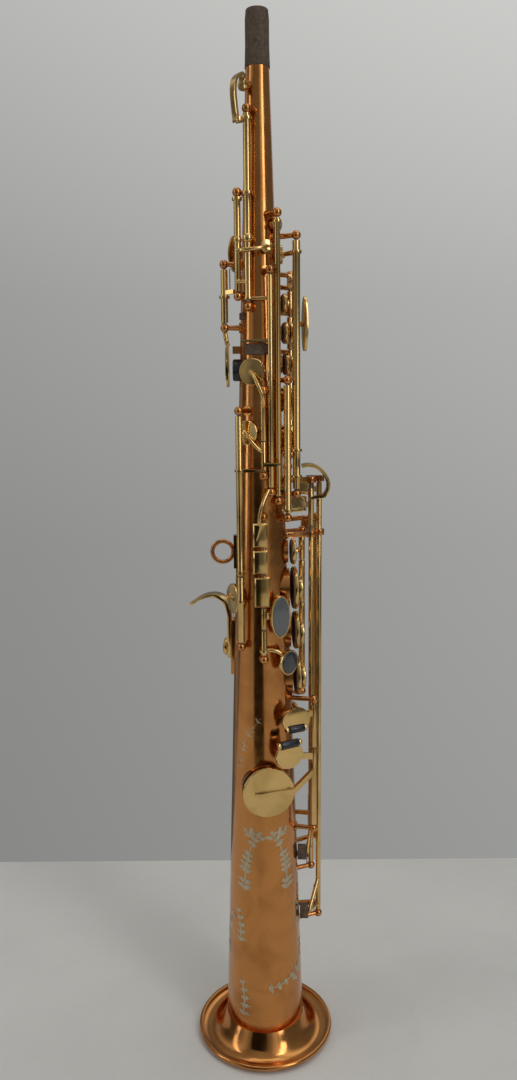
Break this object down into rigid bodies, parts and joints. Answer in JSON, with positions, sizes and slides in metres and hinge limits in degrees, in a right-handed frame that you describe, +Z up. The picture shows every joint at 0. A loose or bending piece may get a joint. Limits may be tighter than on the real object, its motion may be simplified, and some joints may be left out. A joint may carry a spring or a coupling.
{
  "type": "soprano saxophone",
  "caption": "Straight soprano saxophone standing on its bell: copper-coloured conical body, gold keywork on long vertical hinge rods, pearl touches, strap ring and thumb hook.",
  "frame": {"origin": "centre of the ring that the bell rests on, on the bore axis", "axes": "+Z up the bore to the neck, +X to the front where the finger stacks are, +Y to the player's left"},
  "size_m": [0.0926, 0.0914, 0.649],
  "materials": {
    "copper_lacquer": "clear lacquer over high-copper brass, polished",
    "gold_brass": "lacquered yellow brass, polished",
    "steel": "blued and bright steel",
    "cork": "dark composite cork, matt",
    "pearl": "grey mother-of-pearl, polished",
    "black_roller": "polished black",
    "black_rest": "satin black"
  },
  "bodies": {
    "body": {"bell_flare": "copper_lacquer", "bell_ring": "copper_lacquer", "body_tube": "copper_lacquer", "cork_bumpers": "cork", "hinge_rods": "steel", "key_posts": "copper_lacquer", "neck_cork": "cork", "needle_springs": "steel", "octave_pips": "gold_brass", "pinky_bracket": "copper_lacquer", "strap_ring": "copper_lacquer", "thumb_hook_plate": "copper_lacquer", "thumb_rest": "black_rest"},
    "neck_octave_key": {"neck_octave_key": "gold_brass"},
    "body_octave_key": {"body_octave_key": "gold_brass"},
    "octave_thumb_lever": {"octave_thumb_lever": "gold_brass"},
    "octave_link": {"octave_link": "gold_brass"},
    "palm_d_key": {"palm_d_key": "gold_brass"},
    "palm_eb_key": {"palm_eb_key": "gold_brass"},
    "palm_f_key": {"palm_f_key": "gold_brass"},
    "front_f_key": {"front_f_key": "gold_brass"},
    "high_e_key": {"high_e_key": "gold_brass"},
    "high_fsharp_key": {"high_fsharp_key": "gold_brass"},
    "articulation_lever": {"articulation_lever": "gold_brass"},
    "side_c_key": {"side_c_key": "gold_brass"},
    "side_bb_key": {"side_bb_key": "gold_brass"},
    "side_bb_rod": {"side_bb_rod": "gold_brass"},
    "trill_cup_key": {"trill_cup_key": "gold_brass"},
    "trill_touch": {"trill_touch": "gold_brass"},
    "high_fsharp_touch": {"high_fsharp_touch": "gold_brass", "high_fsharp_pearl": "pearl"},
    "side_e_touch": {"side_e_touch": "gold_brass"},
    "side_c_touch": {"side_c_touch": "gold_brass"},
    "side_bb_touch": {"side_bb_touch": "gold_brass"},
    "g_sharp_key": {"g_sharp_key": "gold_brass"},
    "g_sharp_touch": {"g_sharp_touch": "gold_brass"},
    "low_csharp_key": {"low_csharp_key": "gold_brass"},
    "low_eb_key": {"low_eb_key": "gold_brass"},
    "low_c_key": {"low_c_key": "gold_brass"},
    "low_b_key": {"low_b_key": "gold_brass"},
    "low_bb_key": {"low_bb_key": "gold_brass"},
    "c_key": {"c_key": "gold_brass"},
    "b_key": {"b_key": "gold_brass", "b_pearl": "pearl"},
    "bis_key": {"bis_key": "gold_brass"},
    "a_key": {"a_key": "gold_brass", "a_pearl": "pearl"},
    "g_key": {"g_key": "gold_brass", "g_pearl": "pearl"},
    "f_sharp_key": {"f_sharp_key": "gold_brass"},
    "f_key": {"f_key": "gold_brass", "f_pearl": "pearl"},
    "e_key": {"e_key": "gold_brass", "e_pearl": "pearl"},
    "d_key": {"d_key": "gold_brass", "d_pearl": "pearl"},
    "low_c_roller": {"low_c_roller": "black_roller"},
    "low_eb_roller": {"low_eb_roller": "black_roller"},
    "thumb_hook": {"thumb_hook": "gold_brass"},
    "thumb_hook_screw": {"thumb_hook_screw": "gold_brass"}
  },
  "joints": [
    {"name": "neck_octave_key_pivot", "type": "hinge", "parent": "body", "child": "neck_octave_key", "pos_m": [-0.00643, -0.01268, 0.53775], "axis": [0, 0, 1], "range_deg": [0, 14], "stiffness_Nm_per_rad": 0.02, "springref_deg": -8.59},
    {"name": "body_octave_key_pivot", "type": "hinge", "parent": "body", "child": "body_octave_key", "pos_m": [-0.01249, -0.01067, 0.51825], "axis": [0, 0, 1], "range_deg": [-6, 0], "stiffness_Nm_per_rad": 0.02, "springref_deg": 8.59},
    {"name": "octave_thumb_lever_pivot", "type": "hinge", "parent": "body", "child": "octave_thumb_lever", "pos_m": [-0.02092, -0.00257, 0.49], "axis": [0, 0, 1], "range_deg": [-10, 0], "stiffness_Nm_per_rad": 0.02, "springref_deg": 8.59},
    {"name": "octave_link_pivot", "type": "hinge", "parent": "body", "child": "octave_link", "pos_m": [0.00632, -0.01605, 0.43825], "axis": [0, 0, 1], "range_deg": [-4, 0], "stiffness_Nm_per_rad": 0.02, "springref_deg": 8.59},
    {"name": "palm_d_key_pivot", "type": "hinge", "parent": "body", "child": "palm_d_key", "pos_m": [0.02068, 0.02018, 0.4775], "axis": [0, 0, 1], "range_deg": [-7, 0], "stiffness_Nm_per_rad": 0.02, "springref_deg": 8.59},
    {"name": "palm_eb_key_pivot", "type": "hinge", "parent": "body", "child": "palm_eb_key", "pos_m": [-0.00612, 0.02238, 0.48925], "axis": [0, 0, 1], "range_deg": [-9, 0], "stiffness_Nm_per_rad": 0.02, "springref_deg": 8.59},
    {"name": "palm_f_key_pivot", "type": "hinge", "parent": "body", "child": "palm_f_key", "pos_m": [0, 0.02035, 0.53], "axis": [0, 0, 1], "range_deg": [0, 9], "stiffness_Nm_per_rad": 0.02, "springref_deg": -8.59},
    {"name": "front_f_key_pivot", "type": "hinge", "parent": "body", "child": "front_f_key", "pos_m": [0.01906, 0.01305, 0.449], "axis": [0, 0, 1], "range_deg": [-6, 0], "stiffness_Nm_per_rad": 0.02, "springref_deg": 8.59},
    {"name": "high_e_key_pivot", "type": "hinge", "parent": "body", "child": "high_e_key", "pos_m": [0.02198, -0.01058, 0.4475], "axis": [0, 0, 1], "range_deg": [-12, 0], "stiffness_Nm_per_rad": 0.02, "springref_deg": 8.59},
    {"name": "high_fsharp_key_pivot", "type": "hinge", "parent": "body", "child": "high_fsharp_key", "pos_m": [0.01075, -0.01422, 0.4515], "axis": [0, 0, 1], "range_deg": [-12, 0], "stiffness_Nm_per_rad": 0.02, "springref_deg": 8.59},
    {"name": "articulation_lever_pivot", "type": "hinge", "parent": "body", "child": "articulation_lever", "pos_m": [0.01635, -0.0131, 0.3985], "axis": [0, 0, 1], "range_deg": [0, 4], "stiffness_Nm_per_rad": 0.02, "springref_deg": -8.59},
    {"name": "side_c_key_pivot", "type": "hinge", "parent": "body", "child": "side_c_key", "pos_m": [0.00183, -0.01744, 0.4085], "axis": [0, 0, 1], "range_deg": [0, 9], "stiffness_Nm_per_rad": 0.02, "springref_deg": -8.59},
    {"name": "side_bb_key_pivot", "type": "hinge", "parent": "body", "child": "side_bb_key", "pos_m": [0.00183, -0.01744, 0.4085], "axis": [0, 0, 1], "range_deg": [0, 8], "stiffness_Nm_per_rad": 0.02, "springref_deg": -8.59},
    {"name": "side_bb_rod_pivot", "type": "hinge", "parent": "body", "child": "side_bb_rod", "pos_m": [-0.01283, -0.01903, 0.3495], "axis": [0, 0, 1], "range_deg": [-6, 0], "stiffness_Nm_per_rad": 0.02, "springref_deg": 8.59},
    {"name": "trill_cup_key_pivot", "type": "hinge", "parent": "body", "child": "trill_cup_key", "pos_m": [-0.01283, -0.01903, 0.3495], "axis": [0, 0, 1], "range_deg": [0, 8], "stiffness_Nm_per_rad": 0.02, "springref_deg": -8.59},
    {"name": "trill_touch_pivot", "type": "hinge", "parent": "body", "child": "trill_touch", "pos_m": [0.00132, -0.02164, 0.314], "axis": [0, 0, 1], "range_deg": [0, 6], "stiffness_Nm_per_rad": 0.02, "springref_deg": -8.59},
    {"name": "high_fsharp_touch_pivot", "type": "hinge", "parent": "body", "child": "high_fsharp_touch", "pos_m": [0.00132, -0.02164, 0.314], "axis": [0, 0, 1], "range_deg": [0, 8], "stiffness_Nm_per_rad": 0.02, "springref_deg": -8.59},
    {"name": "side_e_touch_pivot", "type": "hinge", "parent": "body", "child": "side_e_touch", "pos_m": [0.00132, -0.02164, 0.314], "axis": [0, 0, 1], "range_deg": [-8, 0], "stiffness_Nm_per_rad": 0.02, "springref_deg": 8.59},
    {"name": "side_c_touch_pivot", "type": "hinge", "parent": "body", "child": "side_c_touch", "pos_m": [0.00132, -0.02164, 0.314], "axis": [0, 0, 1], "range_deg": [-8, 0], "stiffness_Nm_per_rad": 0.02, "springref_deg": 8.59},
    {"name": "side_bb_touch_pivot", "type": "hinge", "parent": "body", "child": "side_bb_touch", "pos_m": [0.00132, -0.02164, 0.314], "axis": [0, 0, 1], "range_deg": [-8, 0], "stiffness_Nm_per_rad": 0.02, "springref_deg": 8.59},
    {"name": "g_sharp_key_pivot", "type": "hinge", "parent": "body", "child": "g_sharp_key", "pos_m": [0.01768, 0.01381, 0.37525], "axis": [0, 0, 1], "range_deg": [-8, 0], "stiffness_Nm_per_rad": 0.02, "springref_deg": 8.59},
    {"name": "g_sharp_touch_pivot", "type": "hinge", "parent": "body", "child": "g_sharp_touch", "pos_m": [0.03149, 0.00442, 0.3615], "axis": [0, 0, 1], "range_deg": [-6, 0], "stiffness_Nm_per_rad": 0.02, "springref_deg": 8.59},
    {"name": "low_csharp_key_pivot", "type": "hinge", "parent": "body", "child": "low_csharp_key", "pos_m": [0.03606, 0.02082, 0.2415], "axis": [0, 0, 1], "range_deg": [-6, 0], "stiffness_Nm_per_rad": 0.02, "springref_deg": 8.59},
    {"name": "low_eb_key_pivot", "type": "hinge", "parent": "body", "child": "low_eb_key", "pos_m": [0.03266, -0.00754, 0.19425], "axis": [0, 0, 1], "range_deg": [-8, 0], "stiffness_Nm_per_rad": 0.02, "springref_deg": 8.59},
    {"name": "low_c_key_pivot", "type": "hinge", "parent": "body", "child": "low_c_key", "pos_m": [0.03266, -0.00754, 0.19425], "axis": [0, 0, 1], "range_deg": [-4.62, 0], "stiffness_Nm_per_rad": 0.02, "springref_deg": 8.59},
    {"name": "low_b_key_pivot", "type": "hinge", "parent": "body", "child": "low_b_key", "pos_m": [0.03227, 0.01304, 0.2445], "axis": [0, 0, 1], "range_deg": [0, 4.57], "stiffness_Nm_per_rad": 0.02, "springref_deg": -8.59},
    {"name": "low_bb_key_pivot", "type": "hinge", "parent": "body", "child": "low_bb_key", "pos_m": [0.03731, 0.01306, 0.2265], "axis": [0, 0, 1], "range_deg": [0, 4.25], "stiffness_Nm_per_rad": 0.02, "springref_deg": -8.59},
    {"name": "c_key_pivot", "type": "hinge", "parent": "body", "child": "c_key", "pos_m": [0.01906, 0.01305, 0.449], "axis": [0, 0, 1], "range_deg": [-6.01, 0], "stiffness_Nm_per_rad": 0.02, "springref_deg": 8.59},
    {"name": "b_key_pivot", "type": "hinge", "parent": "body", "child": "b_key", "pos_m": [0.01906, 0.01305, 0.449], "axis": [0, 0, 1], "range_deg": [-6.01, 0], "stiffness_Nm_per_rad": 0.02, "springref_deg": 8.59},
    {"name": "bis_key_pivot", "type": "hinge", "parent": "body", "child": "bis_key", "pos_m": [0.01906, 0.01305, 0.449], "axis": [0, 0, 1], "range_deg": [-6.01, 0], "stiffness_Nm_per_rad": 0.02, "springref_deg": 8.59},
    {"name": "a_key_pivot", "type": "hinge", "parent": "body", "child": "a_key", "pos_m": [0.01906, 0.01305, 0.449], "axis": [0, 0, 1], "range_deg": [-7.03, 0], "stiffness_Nm_per_rad": 0.02, "springref_deg": 8.59},
    {"name": "g_key_pivot", "type": "hinge", "parent": "body", "child": "g_key", "pos_m": [0.01906, 0.01305, 0.449], "axis": [0, 0, 1], "range_deg": [-7.03, 0], "stiffness_Nm_per_rad": 0.02, "springref_deg": 8.59},
    {"name": "f_sharp_key_pivot", "type": "hinge", "parent": "body", "child": "f_sharp_key", "pos_m": [0.02634, 0.01659, 0.2905], "axis": [0, 0, 1], "range_deg": [-5.13, 0], "stiffness_Nm_per_rad": 0.02, "springref_deg": 8.59},
    {"name": "f_key_pivot", "type": "hinge", "parent": "body", "child": "f_key", "pos_m": [0.02634, 0.01659, 0.2905], "axis": [0, 0, 1], "range_deg": [-5.48, 0], "stiffness_Nm_per_rad": 0.02, "springref_deg": 8.59},
    {"name": "e_key_pivot", "type": "hinge", "parent": "body", "child": "e_key", "pos_m": [0.02634, 0.01659, 0.2905], "axis": [0, 0, 1], "range_deg": [-5.48, 0], "stiffness_Nm_per_rad": 0.02, "springref_deg": 8.59},
    {"name": "d_key_pivot", "type": "hinge", "parent": "body", "child": "d_key", "pos_m": [0.02634, 0.01659, 0.2905], "axis": [0, 0, 1], "range_deg": [-5.48, 0], "stiffness_Nm_per_rad": 0.02, "springref_deg": 8.59},
    {"name": "low_c_roller_spin", "type": "hinge", "parent": "low_c_key", "child": "low_c_roller", "pos_m": [0.01656, -0.02611, 0.2161], "axis": [0.8774, 0.4798, 0], "continuous": true},
    {"name": "low_eb_roller_spin", "type": "hinge", "parent": "low_eb_key", "child": "low_eb_roller", "pos_m": [0.021, -0.02014, 0.2237], "axis": [0.9135, 0.4067, 0], "continuous": true},
    {"name": "thumb_hook_slide", "type": "slide", "parent": "body", "child": "thumb_hook", "axis": [0, 0, 1], "range_m": [-0.003, 0.003]},
    {"name": "thumb_hook_screw_turn", "type": "hinge", "parent": "body", "child": "thumb_hook_screw", "pos_m": [-0.01918, 0.00514, 0.2705], "axis": [-0.9659, 0.2588, 0], "continuous": true}
  ],
  "couplings": [
    {"joint": "body_octave_key_pivot", "follows": "octave_thumb_lever_pivot", "ratio": 0.5988},
    {"joint": "palm_f_key_pivot", "follows": "front_f_key_pivot", "ratio": -1.497},
    {"joint": "c_key_pivot", "follows": "a_key_pivot", "ratio": 0.85437},
    {"joint": "f_sharp_key_pivot", "follows": "f_key_pivot", "ratio": 0.93512},
    {"joint": "g_sharp_key_pivot", "follows": "g_sharp_touch_pivot", "ratio": 1.3307},
    {"joint": "high_e_key_pivot", "follows": "side_e_touch_pivot", "ratio": 1.497},
    {"joint": "side_c_key_pivot", "follows": "side_c_touch_pivot", "ratio": -1.1227},
    {"joint": "side_bb_key_pivot", "follows": "side_bb_touch_pivot", "ratio": -0.998},
    {"joint": "side_bb_rod_pivot", "follows": "side_bb_touch_pivot", "ratio": 0.7485},
    {"joint": "high_fsharp_key_pivot", "follows": "high_fsharp_touch_pivot", "ratio": -1.497},
    {"joint": "trill_cup_key_pivot", "follows": "trill_touch_pivot", "ratio": 1.3307},
    {"joint": "octave_link_pivot", "follows": "g_key_pivot", "ratio": 0.56826},
    {"joint": "articulation_lever_pivot", "follows": "e_key_pivot", "ratio": -0.729}
  ]
}
